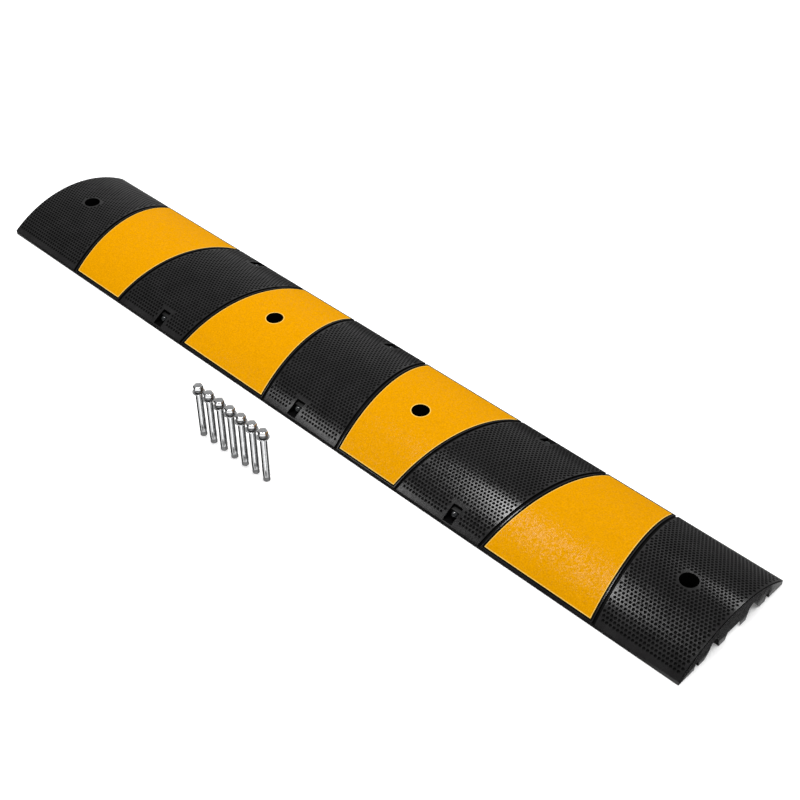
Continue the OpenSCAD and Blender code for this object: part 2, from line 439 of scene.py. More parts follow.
def outer_outline(side):
    inner, outer = OUTER_CHANNEL
    top = [(outer - OUTER_LEAN, RELIEF_HEIGHT), (inner + OUTER_LEAN, RELIEF_HEIGHT)]
    outline = [(inner, -PAST), (outer, -PAST)] + top
    return [(side * y, z) for y, z in outline]


def middle_outline():
    foot = MIDDLE_HALF_WIDTH
    top = foot - MIDDLE_LEAN
    return [(-foot, -PAST), (foot, -PAST), (top, RELIEF_HEIGHT), (-top, RELIEF_HEIGHT)]


def cut_channels(body):
    """Cuts the five channels of the underside, with bosses left standing round the bolt holes."""
    ends = (-HALF_LENGTH - PAST, HALF_LENGTH + PAST)
    for side in (-1, 1):
        boolean(body, channel("cable_channel", cable_outline(side), *ends))
        boolean(body, channel("outer_channel", outer_outline(side), *ends))
    middle_cut = channel("middle_channel", middle_outline(), *ends)
    boss = [(0, -2 * PAST), (BOSS_RADIUS, -2 * PAST), (BOSS_RADIUS, HEIGHT), (0, HEIGHT)]
    for x in HOLE_PLACES:
        boolean(middle_cut, solid_of_revolution("boss", boss, steps=48, place=Vector((x, 0, 0))))
    boolean(body, middle_cut)


def hole_cutter(x):
    """Through hole with a chamfered foot, and a counterbore with a fillet and a rounded mouth."""
    top = crown_z(COUNTERBORE_RADIUS)
    outline = [
        (0.0, -PAST),
        (HOLE_RADIUS + HOLE_CHAMFER, -PAST),
        (HOLE_RADIUS + HOLE_CHAMFER, 0.0),
        (HOLE_RADIUS, HOLE_CHAMFER),
        (HOLE_RADIUS, SHOULDER_HEIGHT),
        (COUNTERBORE_RADIUS - SHOULDER_FILLET, SHOULDER_HEIGHT),
        (COUNTERBORE_RADIUS, SHOULDER_HEIGHT + SHOULDER_FILLET),
        (COUNTERBORE_RADIUS, top - MOUTH_ROUNDING),
        (COUNTERBORE_RADIUS + MOUTH_ROUNDING, top + PAST),
        (0.0, top + PAST),
    ]
    return solid_of_revolution("bolt_hole", outline, steps=64, place=Vector((x, 0, 0)))


def pocket_cutter(place):
    """Pocket with an upright back wall and a floor that ramps out to its lip."""
    front = -1 if place.y < 0 else 1
    outline = [
        (POCKET_BACK, POCKET_FLOOR),
        (POCKET_BACK, HEIGHT),
        (POCKET_LIP, HEIGHT),
        (POCKET_LIP, RAMP_TOP),
        (RAMP_START, POCKET_FLOOR),
    ]
    half = POCKET_WIDTH / 2
    rings = [[(place.x + side * half, front * y, z) for y, z in outline] for side in (-1, 1)]
    return loft("pocket", rings)


def panel_flare(n):
    """Odd panels are narrower at the front, even ones at the rear."""
    return 1 if n % 2 else -1


def border_x(n, side, y, out):
    """X of the line that runs beside a film's edge, out from it."""
    return PANEL_PLACES[n] + side * (FILM_HALF_WIDTH + out + panel_flare(n) * FILM_SLANT * y)


def inside_edges(n, spot):
    """How far inside the nearer side edge of a film a point lies."""
    return min(side * (border_x(n, side, spot.y, 0) - spot.x) for side in (-1, 1))


def rounded_wall(out, sign, rounding):
    """Rounded shoulder of a wall, from just above the crown to where the wall is upright.

    sign is 1 where the rubber lies outside the wall, and -1 where it lies inside.
    """
    width, drop = rounding
    lead, lift = SHOULDER_LEAD
    turns = np.radians([25, 45, 60, 75, 90])
    wall = [(out + sign * width * (1 - math.sin(a)), -drop * (1 - math.cos(a))) for a in turns]
    return [(wall[0][0] + sign * width * lead, lift)] + wall


def seat_cutter(n):
    """Recess for one film, with rounded shoulders at its left and right walls."""
    rings = []
    reach = FILM_REACH + SEAT_GAP
    high = [(SEAT_GAP + CUTTER_FLARE, CUTTER_TOP)]
    low = [(SEAT_GAP, -SEAT_DEPTH)]
    half = high + rounded_wall(SEAT_GAP, 1, RIB_ROUNDING) + low
    for y in crown_stations(-reach, reach):
        ring = []
        for side, points in ((1, half), (-1, reversed(half))):
            ring += [over_crown(border_x(n, side, y, out), y, lift) for out, lift in points]
        rings.append(ring)
    return loft("seat", rings)


def groove_cutter(n, side):
    """Groove beside a panel's rib, with rounded shoulders and a filleted floor."""
    inner = SEAT_GAP + RIB_WIDTH
    outer = inner + GROOVE_WIDTH
    fillet_top = -GROOVE_DEPTH + GROOVE_FILLET
    section = [(inner - CUTTER_FLARE, CUTTER_TOP)] + rounded_wall(inner, -1, RIB_ROUNDING)
    section += [(inner + GROOVE_DRAFT, fillet_top), (inner + GROOVE_FILLET, -GROOVE_DEPTH)]
    section += [(outer - GROOVE_FILLET, -GROOVE_DEPTH), (outer - GROOVE_DRAFT, fillet_top)]
    section += list(reversed(rounded_wall(outer, 1, RIM_ROUNDING)))
    section.append((outer + CUTTER_FLARE, CUTTER_TOP))
    reach = HALF_WIDTH + PAST
    rings = []
    for y in crown_stations(-reach, reach):
        rings.append([over_crown(border_x(n, side, y, out), y, lift) for out, lift in section])
    return loft("groove", rings)


def dimple_centres():
    """Plan centres of every dimple, in staggered rows."""
    centres = []
    rows = int(DIMPLE_REACH // ROW)
    columns = int(HALF_LENGTH // CELL) + 1
    for j in range(-rows - 1, rows + 1):
        y = (j + 0.5) * ROW
        if abs(y) > DIMPLE_REACH:
            continue
        for i in range(-columns, columns + 1):
            x = (i + 0.5 * (j % 2)) * CELL
            if has_dimple(x, y):
                centres.append((x, y))
    return centres


def has_dimple(x, y):
    """True where the moulding is textured: clear of its ends, films, holes and pockets."""
    half_cell = DIMPLE_FLATS / 2
    if abs(x) > HALF_LENGTH - END_MARGIN - half_cell:
        return False
    for n in PANELS:
        clear = FILM_HALF_WIDTH + BORDER + PLAIN_RIM + half_cell
        if abs(x - PANEL_PLACES[n]) < clear + panel_flare(n) * FILM_SLANT * y:
            return False
    for hole_x in HOLE_PLACES:
        if math.hypot(x - hole_x, y) < COUNTERBORE_RADIUS + HOLE_MARGIN + half_cell:
            return False
    for place in POCKET_PLACES:
        beside = abs(x - place.x) < POCKET_WIDTH / 2 + POCKET_MARGIN + half_cell
        if beside and y * place.y > 0 and abs(y) > POCKET_BACK - POCKET_MARGIN - half_cell:
            return False
    return True


def dimple_cutter():
    """Every dimple as one mesh: a short steep hexagonal wall and a shallow point."""
    directions = [(math.cos(a), math.sin(a)) for a in np.radians(range(30, 390, 60))]
    flat = DIMPLE_FLATS / 2
    above = 0.5 * MM
    ring_flat = flat - DIMPLE_WALL / math.tan(DIMPLE_WALL_SLOPE)
    top_flat = flat + above / math.tan(DIMPLE_WALL_SLOPE)
    tip = DIMPLE_WALL + ring_flat * math.tan(DIMPLE_CONE_SLOPE)
    corner = 1 / math.cos(math.pi / 6)
    points = []
    faces = []
    for x, y in dimple_centres():
        slope = y / CROWN_RADIUS
        base = len(points)
        centre = Vector(over_crown(x, y, 0))
        normal = Vector((0, slope, math.sqrt(1 - slope * slope)))
        along = Vector((0, normal.z, -normal.y))
        for size, lift in ((top_flat, above), (ring_flat, -DIMPLE_WALL)):
            for dx, dy in directions:
                spot = Vector((dx * size * corner, 0, 0)) + along * (dy * size * corner)
                points.append(centre + spot + normal * lift)
        points.append(centre - normal * tip)
        faces.append(tuple(base + k for k in range(6)))
        for k in range(6):
            n = (k + 1) % 6
            faces.append((base + 6 + k, base + 6 + n, base + n, base + k))
            faces.append((base + 12, base + 6 + n, base + 6 + k))
    return new_object("dimples", points, faces)


def in_pocket(spot, place):
    beside = abs(spot.x - place.x) < POCKET_WIDTH / 2 + TOUCH
    return beside and POCKET_BACK - TOUCH < abs(spot.y) < POCKET_LIP


def in_recess(spot):
    """True inside a bolt hole, a pocket, a panel's seat or its grooves, where the rubber takes the
    duller material whose dark colour paints the shade in the recess.
    """
    depth = CROWN_RADIUS - math.hypot(spot.y, spot.z - CROWN_AXIS_Z)
    if depth < RECESS_DEPTH or spot.z < PAST:
        return False
    if any(math.hypot(spot.x - x, spot.y) < COUNTERBORE_RADIUS + TOUCH for x in HOLE_PLACES):
        return True
    if any(in_pocket(spot, place) for place in POCKET_PLACES):
        return True
    if depth > GROOVE_DEPTH + TOUCH:
        return False
    return any(inside_edges(n, spot) > -BORDER - TOUCH for n in PANELS)


def shade_moulding(body):
    """Smooth crown, flat dimple facets, and the rest smooth up to its sharp edges. Dimple facets and
    recess faces take the duller rubber, whose darker colour is painted shade.
    """
    mesh = body.data
    shade(body, limit=32)
    points = np.array([v.co for v in mesh.vertices])
    radial = points - [0, 0, CROWN_AXIS_Z]
    radial[:, 0] = 0
    distance = np.linalg.norm(radial, axis=1)
    radial /= distance[:, None]
    on_crown = np.abs(distance - CROWN_RADIUS) < CROWN_TOLERANCE
    in_skin = (distance > CROWN_RADIUS - SKIN_DEPTH) & (distance < CROWN_RADIUS + TOUCH)
    normals = np.zeros((len(mesh.loops), 3))
    for face in mesh.polygons:
        corners = list(face.vertices)
        lean = float(np.dot(radial[corners].mean(0), face.normal))
        if on_crown[corners].all() and lean > CROWN_LEAN:
            normals[list(face.loop_indices)] = radial[corners]
            face.material_index = 0
        elif in_skin[corners].all() and face.area < FACET_AREA and lean > FACET_LEAN:
            face.use_smooth = False
            # Duller rubber, darker to paint the shade in the dimple
            face.material_index = 1
        elif in_recess(face.center):
            # Darker rubber: painted shade inside the recess
            face.material_index = 1
    mesh.normals_split_custom_set(normals)


def make_moulding():
    body = body_blank()
    cut_channels(body)
    for n in PANELS:
        boolean(body, seat_cutter(n))
        for side in (-1, 1):
            boolean(body, groove_cutter(n, side))
    for x in HOLE_PLACES:
        boolean(body, hole_cutter(x))
    for place in POCKET_PLACES:
        boolean(body, pocket_cutter(place))
    boolean(body, dimple_cutter())
    return body


# --- films ---


def film_ring(n, y, drop):
    """Section of a film at one Y. drop lowers its top, for the film's front and rear edges."""
    low = -SEAT_DEPTH
    top = low + FILM_THICKNESS - drop
    half = [(out, low + lift) for out, lift in FILM_FOOT]
    half += [(out, top - fall) for out, fall in FILM_SHOULDER]
    ring = [(1, out, lift) for out, lift in half]
    ring += [(-1, out, lift) for out, lift in reversed(half)]
    return [over_crown(border_x(n, side, y, out), y, lift) for side, out, lift in ring]


def film_lip(n):
    """Raised lip where the film is cut out round a bolt hole."""
    low = -SEAT_DEPTH + LIP_FOOT
    top = -SEAT_DEPTH + FILM_THICKNESS
    section = [(0, low), (LIP_WIDTH, low)] + [(LIP_WIDTH * run, top + lift) for run, lift in LIP_TOP]
    rings = []
    for i in range(HOLE_STEPS):
        angle = math.tau * i / HOLE_STEPS
        ring = []
        for run, lift in section:
            radius = FILM_HOLE_RADIUS + run
            x = PANEL_PLACES[n] + radius * math.cos(angle)
            ring.append(over_crown(x, radius * math.sin(angle), lift))
        rings.append(ring)
    lip = paint(loft("lip", rings, closed=True), FILM, FILM_PALE)
    for face in lip.data.polygons:
        face.material_index = 1
    return lip


def make_film(n):
    """One reflective film, with a pale narrow edge, cut out round its bolt hole if it has one."""
    reach = FILM_REACH - FILM_EDGE
    inner = [-reach + 2 * reach * k / FILM_STEPS for k in range(1, FILM_STEPS)]
    rings = [film_ring(n, run - FILM_REACH, drop) for run, drop in FILM_END]
    rings += [film_ring(n, y, 0) for y in inner]
    rings += [film_ring(n, FILM_REACH - run, drop) for run, drop in reversed(FILM_END)]
    film = loft(f"film_{n}", rings)
    paint(film, FILM, FILM_PALE)
    for face in film.data.polygons:
        at_side = inside_edges(n, face.center) < FILM_EDGE
        at_end = abs(face.center.y) > reach
        face.material_index = 1 if at_side or at_end else 0
    if any(abs(PANEL_PLACES[n] - x) < MM for x in HOLE_PLACES):
        top = HEIGHT + PAST
        cut = [(0, 0), (FILM_HOLE_RADIUS, 0), (FILM_HOLE_RADIUS, top), (0, top)]
        place = Vector((PANEL_PLACES[n], 0, 0))
        boolean(film, solid_of_revolution("film_hole", cut, HOLE_STEPS, place))
        boolean(film, film_lip(n), "UNION")
    return shade(film, limit=40)


# --- side reflectors ---


def facing(piece, place):
    """Puts a reflector's piece, made for the front side at X = 0, at its own pocket."""
    turn = Matrix.Rotation(math.pi if place.y > 0 else 0, 4, "Z")
    piece.data.transform(Matrix.Translation((place.x, 0, 0)) @ turn)
    return piece


def bead_shape(n):
    """Radius of a reflector's bead, and its centre where it is made, on the front side at X = 0."""
    low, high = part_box(f"reflector_bead_{n}")
    centre = Vector((0, -abs((low.y + high.y) / 2), (low.z + high.z) / 2))
    return (high.x - low.x) / 2, centre


def make_bead(n):
    """Pressed glass bead with a narrow moulding ridge round its middle, facing out along Y."""
    radius, centre = bead_shape(n)
    outline = [(0, -radius)]
    for degrees in range(-84, 90, 6):
        angle = math.radians(degrees)
        ridge = BEAD_RIDGE * math.exp(-((angle / BEAD_RIDGE_SPREAD) ** 2))
        outline.append(((radius + ridge - BEAD_RIDGE) * math.cos(angle), radius * math.sin(angle)))
    outline.append((0, radius))
    bead = solid_of_revolution(f"bead_{n}", outline, steps=48)
    tilt = Matrix.Rotation(math.radians(90), 4, "X")
    bead.data.transform(Matrix.Translation(centre) @ tilt)
    return shade(facing(bead, middle(f"reflector_bead_{n}")), limit=60)


def make_holder(n):
    """Holder that cups the bead: a rounded block with a socket."""
    low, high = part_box(f"reflector_seat_{n}")
    half_x = (high.x - low.x) / 2
    back = min(abs(low.y), abs(high.y))
    front = max(abs(low.y), abs(high.y))
    r = HOLDER_ROUNDING
    outline = []
    for cx, cz, start in ((1, 1, 0), (-1, 1, 90), (-1, 0, 180), (1, 0, 270)):
        centre = (cx * (half_x - r), (high.z - r) if cz else (low.z + r))
        outline += arc(centre, r, start, start + 90, 4)
    middle_z = (low.z + high.z) / 2
    rings = []
    for y, share in [(back, 1)] + [(front - r * run, share) for run, share in HOLDER_FRONT]:
        rings.append([(x * share, -y, middle_z + (z - middle_z) * share) for x, z in outline])
    holder = paint(loft(f"holder_{n}", rings), HOLDER)
    bead_radius, bead_centre = bead_shape(n)
    socket = bead_radius + SOCKET_GAP
    ball = [(0, -socket)]
    ball += [(socket * math.cos(a), socket * math.sin(a)) for a in np.radians(range(-84, 90, 6))]
    ball.append((0, socket))
    boolean(holder, solid_of_revolution("socket", ball, steps=48, place=bead_centre))
    return shade(facing(holder, middle(f"reflector_seat_{n}")), limit=40)


# --- sleeve anchors ---


def heights(part):
    """Lowest and highest Z of one of the anchors' CAD nodes."""
    low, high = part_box(f"anchor_{part}_1")
    return low.z, high.z


def radius_of(part):
    low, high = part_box(f"anchor_{part}_1")
    return (high.x - low.x) / 2


def hexagon(radius, angle):
    """Radius of a hexagon with that inner radius, in the direction angle."""
    turn = (angle + HEAD_TURN) % (math.pi / 3) - math.pi / 6
    return radius / math.cos(turn)


def head_ring(share, z, sides, rise=0):
    """Ring of a bolt head: share of its radius, how hexagonal, and its rise from flats to corners."""
    flats = HEAD_FLATS / 2
    ring = []
    for i in range(HEAD_STEPS):
        angle = math.tau * i / HEAD_STEPS
        radius = share * (flats + (hexagon(flats, angle) - flats) * sides)
        height = z + (radius - flats) * rise
        ring.append((radius * math.cos(angle), radius * math.sin(angle), height))
    return ring


def bolt_head(low, high):
    """Hexagonal head: a washer face below, flats, and a nearly flat top with a rounded rim."""
    rings = [head_ring(share, low + lift, sides, rise) for share, lift, sides, rise in HEAD_FOOT]
    rings += [head_ring(share, high - drop, sides) for share, drop, sides in HEAD_TOP]
    return loft("head", rings, tips=[(0, 0, low), (0, 0, high)])


def thread_radius(z, angle, low):
    """Radius of the rolled thread, which starts at low and runs out over its first turn."""
    phase = (z / THREAD_PITCH - angle / math.tau) % 1
    ridge = 1 - abs(2 * phase - 1)
    run_out = min(1, (z - low) / THREAD_PITCH)
    return THREAD_RADIUS - THREAD_DEPTH + THREAD_DEPTH * run_out * min(1, THREAD_FLANK * ridge)


def make_bolt():
    """Bolt: rolled thread, plain shank, a small fillet and its head."""
    low, high = heights("bolt")
    head_z = high - HEAD_HEIGHT
    core = THREAD_RADIUS - THREAD_DEPTH
    rows = int(THREAD_LENGTH / THREAD_PITCH * THREAD_ROWS)
    length = THREAD_LENGTH - THREAD_START
    levels = [low + THREAD_START + length * k / rows for k in range(rows + 1)]
    outline = [(0, low), (core - TIP_CHAMFER, low), (core, low + TIP_CHAMFER)]
    outline += [(core, z) for z in levels]
    fillet_out, fillet_down = HEAD_FILLET
    overlap = head_z + HEAD_OVERLAP
    outline += [(SHANK_RADIUS, levels[-1] + SHANK_STEP), (SHANK_RADIUS, head_z - fillet_down)]
    outline += [(SHANK_RADIUS + fillet_out, overlap), (0, overlap)]

    def thread(radius, z, angle):
        if z < levels[0] - ROUND_OFF or z > levels[-1] + ROUND_OFF:
            return radius
        return thread_radius(z, angle, levels[0])

    bolt = paint(solid_of_revolution("bolt", outline, steps=24, radius_at=thread), ZINC_BOLT)
    boolean(bolt, bolt_head(head_z, high), "UNION")
    return shade(bolt, limit=35)


def make_cone():
    """Cone nut: ribbed round its foot, smooth where it enters the sleeve."""
    low, high = heights("cone")
    base = radius_of("cone")
    tip = CONE_TIP_RADIUS
    land = low + CONE_LAND
    bore = THREAD_RADIUS + CONE_PLAY
    outline = [(bore + CONE_CHAMFER, low), (base - CONE_ROUNDING, low)]
    outline += [(base, low + CONE_CHAMFER), (base, (low + land) / 2), (base, land)]
    for k in range(1, 9):
        share = k / 8
        outline.append((base + (tip - base) * share, land + (high - land) * share))
    outline += [(bore, high), (bore, low + CONE_CHAMFER)]

    def ribs(radius, z, angle):
        if radius < tip - TOUCH or z > low + RIB_END or z < low + RIB_START:
            return radius
        return radius - RIB_DEPTH * (0.5 + 0.5 * math.cos(CONE_RIBS * angle)) ** RIB_FULLNESS

    cone = lathe("cone_nut", outline, steps=CONE_RIBS * 6, radius_at=ribs)
    return shade(paint(cone, CONE), limit=35)


def side_cutter(name, outline, angle):
    """A cutter with one Y-Z outline, from near the axis out through one side of the sleeve."""
    cutter = loft(name, [[(x, y, z) for y, z in outline] for x in (AXIS_CLEAR, 2 * SLEEVE_RADIUS)])
    cutter.data.transform(Matrix.Rotation(angle, 4, "Z"))
    return cutter


def slot_cutter(angle, low):
    """One lens-shaped slot and the slit below it, cut through one side of the sleeve."""
    half_slit = SLIT_WIDTH / 2
    outline = [(-half_slit, low - PAST), (half_slit, low - PAST)]
    start = low + SLOT_LOW
    for k in range(1, 12):
        share = k / 12
        swell = math.sin(math.pi * share**SLOT_BIAS) ** SLOT_FULLNESS
        half_width = half_slit + (SLOT_WIDTH / 2 - half_slit) * swell
        outline.append((half_width, start + SLOT_LENGTH * share))
    outline.append((0, start + SLOT_LENGTH * SLOT_TIP))
    outline += [(-y, z) for y, z in reversed(outline[2:-1])]
    return side_cutter("slot", outline, angle)


def make_sleeve():
    """Rolled sleeve: open seam, four slots, a bore that flares, and rounded ends."""
    low, high = heights("sleeve")
    wall = SLEEVE_RADIUS
    bore = SLEEVE_BORE
    outline = [(SLEEVE_MOUTH + MOUTH_CHAMFER, low)]
    outline += [(wall - inset, low + lift) for inset, lift in SLEEVE_FOOT]
    outline += [(wall, low + (high - low) * k / 10) for k in range(1, 10)]
    outline += [(wall - inset, high - drop) for inset, drop in SLEEVE_TOP]
    outline += [(bore + BORE_CHAMFER, high), (bore, high - BORE_CHAMFER)]
    outline += [(bore, low + FLARE_HEIGHT), (SLEEVE_MOUTH, low + BORE_CHAMFER)]
    sleeve = paint(lathe("sleeve", outline, steps=72), ZINC_SLEEVE)
    for k in range(4):
        boolean(sleeve, slot_cutter(math.radians(90 * k - 45), low))
    half = SEAM_WIDTH / 2
    seam = [(-half, low - PAST), (half, low - PAST), (half, high + PAST), (-half, high + PAST)]
    boolean(sleeve, side_cutter("seam", seam, SEAM_ANGLE))
    return shade(sleeve, limit=35)


def make_washer():
    """Stamped flat washer: rolled upper edge, sharper lower edge and a clean bore."""
    low, high = heights("washer")
    rim = radius_of("washer")
    bore = WASHER_BORE
    r = WASHER_ROUNDING
    bore_foot, rim_foot, bore_top = WASHER_CHAMFERS
    outline = [(bore, low + bore_foot), (bore + bore_foot, low)]
    outline += [(rim - rim_foot, low), (rim, low + rim_foot)]
    outline += arc((rim - r, high - r), r, 0, 90, 4)
    outline += [(bore + bore_top, high), (bore, high - bore_top)]
    washer = lathe("flat_washer", outline, steps=72)
    return shade(paint(washer, WASHER), limit=35)


def make_spring_washer():
    """Split spring washer: a square section wound just short of one turn, with a slight rise."""
    low, high = heights("spring_washer")
    half = SPRING_THICKNESS / 2
    middle_radius = (SPRING_RADIUS + SPRING_BORE) / 2
    half_band = (SPRING_RADIUS - SPRING_BORE) / 2
    r = SPRING_ROUNDING
    section = []
    for side, top, start in ((1, 1, 0), (-1, 1, 90), (-1, -1, 180), (1, -1, 270)):
        section += arc((side * (half_band - r), top * (half - r)), r, start, start + 90, 2)
    split = math.asin(SPRING_SPLIT / 2 / SPRING_BORE)
    rings = []
    for i in range(SPRING_STEPS + 1):
        share = i / SPRING_STEPS
        angle = split + (math.tau - 2 * split) * share
        rise = SPRING_RISE * (share - 0.5)
        rings.append([turned(middle_radius + out, lift + rise, angle) for out, lift in section])
    washer = loft("spring_washer", rings)
    tilt = Matrix.Rotation(-SPRING_TILT, 4, "Y")
    washer.data.transform(Matrix.Translation((0, 0, (low + high) / 2)) @ tilt)
    return shade(paint(washer, SPRING), limit=35)


# --- materials ---


def ramp(tree, source, stops):
    """Maps a value to colours or greys. stops are (position, grey or colour)."""
    node = tree.nodes.new("ShaderNodeValToRGB")
    elements = node.color_ramp.elements
    while len(elements) < len(stops):
        elements.new(0.5)
    for element, (position, colour) in zip(elements, stops):
        element.position = position
        element.color = (*colour, 1) if hasattr(colour, "__len__") else (colour, colour, colour, 1)
    tree.links.new(source, node.inputs["Fac"])
    return node.outputs["Color"]


def between(low, high, edge=0.3):
    """Two stops of a ramp that turns from low to high between edge and 1 - edge."""
    return [(edge, low), (1 - edge, high)]


class Finish:
    """A material with one Principled shader, and short ways to drive it from noise."""

    def __init__(self, name, **values):
        self.material = bpy.data.materials.new(name)
        self.material.use_nodes = True
        self.tree = self.material.node_tree
        self.nodes = self.tree.nodes
        self.links = self.tree.links
        self.shader = self.nodes["Principled BSDF"]
        self.place = self.nodes.new("ShaderNodeTexCoord").outputs["Object"]
        for socket, value in values.items():
            self.shader.inputs[socket.replace("_", " ")].default_value = value

    def stretched(self, scale):
        """The object's coordinates, scaled along each axis."""
        mapping = self.nodes.new("ShaderNodeMapping")
        mapping.inputs["Scale"].default_value = scale
        self.links.new(self.place, mapping.inputs["Vector"])
        return mapping.outputs["Vector"]

    def noise(self, scale, detail=3, stretch=None):
        node = self.nodes.new("ShaderNodeTexNoise")
        node.inputs["Scale"].default_value = scale
        node.inputs["Detail"].default_value = detail
        self.links.new(self.stretched(stretch) if stretch else self.place, node.inputs["Vector"])
        return node.outputs["Fac"]

    def cells(self, scale, output="Distance"):
        node = self.nodes.new("ShaderNodeTexVoronoi")
        node.inputs["Scale"].default_value = scale
        self.links.new(self.place, node.inputs["Vector"])
        return node.outputs[output]

    def drive(self, socket, source, stops):
        """Drives one of the shader's sockets by a value, through a ramp."""
        self.links.new(ramp(self.tree, source, stops), self.shader.inputs[socket])

    def bump(self, source, depth, strength=1.0):
        """Adds one layer of relief under those already there."""
        node = self.nodes.new("ShaderNodeBump")
        node.inputs["Distance"].default_value = depth
        node.inputs["Strength"].default_value = strength
        self.links.new(source, node.inputs["Height"])
        normal = self.shader.inputs["Normal"]
        if normal.links:
            self.links.new(normal.links[0].from_socket, node.inputs["Normal"])
        self.links.new(node.outputs["Normal"], normal)

    def bump_coat(self):
        """Gives the shader's coat the same relief."""
        relief = self.shader.inputs["Normal"].links[0].from_socket
        self.links.new(relief, self.shader.inputs["Coat Normal"])


def shades(tone, tint, low, high):
    """Two shades of a tinted tone, a dark and a light one."""
    return [tuple(tone * share * part for part in tint) for share in (low, high)]


def rubber_finish(name, tone, roughness, specular):
    """Moulded rubber: deep grey, faintly mottled, with an orange-peel skin."""
    finish = Finish(name, Specular_IOR_Level=specular)
    dark, light = shades(tone, (1.0, 0.97, 0.99), 0.75, 1.3)
    finish.drive("Base Color", finish.noise(28, detail=5), between(dark, light))
    finish.drive("Roughness", finish.noise(160), between(roughness - 0.05, roughness + 0.07))
    finish.bump(finish.noise(1400, detail=2), 0.05 * MM, strength=0.35)
    return finish.material


def film_finish(name, deep, pale, roughness):
    """Reflective film: tiny glass beads under a clear face give it a fine sparkling grain."""
    finish = Finish(name, Specular_IOR_Level=0.0, Coat_Roughness=0.19)
    finish.drive("Base Color", finish.noise(380), between(deep, pale, edge=0.36))
    finish.drive("Coat Weight", finish.cells(300, output="Color"), FILM_SPARKLE)
    gloss = between(roughness - 0.14, roughness + 0.1, edge=0.35)
    finish.drive("Roughness", finish.noise(420, detail=2), gloss)
    finish.bump(finish.noise(300, detail=2), 0.5 * MM)
    finish.bump(finish.cells(1500), 0.06 * MM, strength=0.5)
    finish.bump_coat()
    return finish.material


def zinc_finish(name, tone, roughness, brushing):
    """Bright zinc plate: metal with faint drawing lines along it and slightly uneven gloss."""
    finish = Finish(name, Metallic=1.0)
    dark, light = shades(tone, (0.98, 0.99, 1.0), 0.88, 1.08)
    finish.drive("Base Color", finish.noise(90, detail=4), between(dark, light))
    gloss = between(roughness, roughness + brushing)
    finish.drive("Roughness", finish.noise(60, stretch=(12, 12, 1)), gloss)
    finish.bump(finish.noise(200, detail=2, stretch=(8, 8, 1)), 0.02 * MM, strength=0.4)
    return finish.material


def holder_finish():
    """Dark moulded plastic with a fine spark-eroded grain, darker than the rubber to paint the shade
    in its pocket.
    """
    finish = Finish("holder_plastic_painted_shade")
    # Very dark base colour: black plastic, plus painted shade of the pocket
    finish.drive("Base Color", finish.noise(150), between(0.004, 0.007))
    finish.drive("Roughness", finish.noise(700, detail=2), between(0.38, 0.55))
    finish.bump(finish.noise(1800, detail=2), 0.03 * MM, strength=0.5)
    return finish.material


def glass_finish():
    """Pressed glass bead, silvered at the back: clear, hard and faintly wavy."""
    finish = Finish("bead_glass", Coat_Weight=1.0, Coat_Roughness=0.05)
    tint = between((0.012, 0.013, 0.014), (0.022, 0.024, 0.025))
    finish.drive("Base Color", finish.noise(120, detail=2), tint)
    finish.drive("Roughness", finish.noise(300, detail=2), between(0.04, 0.12))
    finish.bump(finish.noise(220, detail=2), 0.05 * MM, strength=0.25)
    return finish.material


# How much a film's clear face shines, by the random value of each cell, which stands for a bead
FILM_SPARKLE = [(0.3, 0.0), (0.75, 0.24)]

RUBBER = rubber_finish("rubber_skin", tone=0.012, roughness=0.19, specular=0.5)
# Duller rubber for dimples and recesses, with a darker colour that is painted shade
RUBBER_MATTE_SHADE = rubber_finish("rubber_matte_painted_shade", tone=0.0022, roughness=0.45, specular=0.05)
FILM = film_finish("film_yellow", (0.515, 0.216, 0.0001), (0.625, 0.270, 0.0002), roughness=0.42)
FILM_PALE = film_finish("film_pale_edge", (0.72, 0.46, 0.09), (0.76, 0.50, 0.12), roughness=0.5)
HOLDER = holder_finish()
GLASS = glass_finish()
ZINC_BOLT = zinc_finish("zinc_bolt", tone=0.86, roughness=0.16, brushing=0.12)
ZINC_SLEEVE = zinc_finish("zinc_sleeve", tone=0.88, roughness=0.12, brushing=0.10)
WASHER = zinc_finish("zinc_washer", tone=0.82, roughness=0.22, brushing=0.12)
SPRING = zinc_finish("zinc_spring", tone=0.42, roughness=0.3, brushing=0.15)
CONE = zinc_finish("zinc_cone", tone=0.36, roughness=0.34, brushing=0.16)


# --- assembly ---


def place_piece(piece, body, node):
    """Sets a finished piece on the body it rides on, and hides the CAD node that it stands for."""
    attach(piece, body)
    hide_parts(node)


def build_moulding():
    body = make_moulding()
    shade_moulding(body)
    place_piece(body, "bump", "rubber_body")


def build_films():
    for n in PANELS:
        place_piece(make_film(n), "bump", f"reflective_panel_{n}")


def build_reflectors():
    for n in REFLECTORS:
        bead = paint(make_bead(n), GLASS)
        place_piece(bead, "bump", f"reflector_bead_{n}")
        place_piece(make_holder(n), "bump", f"reflector_seat_{n}")


ANCHOR_PARTS = {
    "bolt": (make_bolt, "bolt_{n}", "zinc_bolt"),
    "cone": (make_cone, "cone_{n}", "cone_nut"),
    "sleeve": (make_sleeve, "bump", "zinc_sleeve"),
    "washer": (make_washer, "bump", "washer"),
    "spring_washer": (make_spring_washer, "bump", "spring_washer"),
}


def build_anchors():
    """Makes each anchor piece once, at the origin, and sets a copy of it at every anchor."""
    for part, (make, body, slot) in ANCHOR_PARTS.items():
        master = make()
        for n in ANCHORS:
            place = middle(f"anchor_sleeve_{n}")
            mesh = master.data.copy()
            mesh.transform(Matrix.Translation((place.x, place.y, 0)))
            piece = add(bpy.data.objects.new(f"{part}_{n}", mesh))
            place_piece(piece, body.format(n=n), f"anchor_{part}_{n}")
        bpy.data.objects.remove(master)


# --- floor, light and camera ---

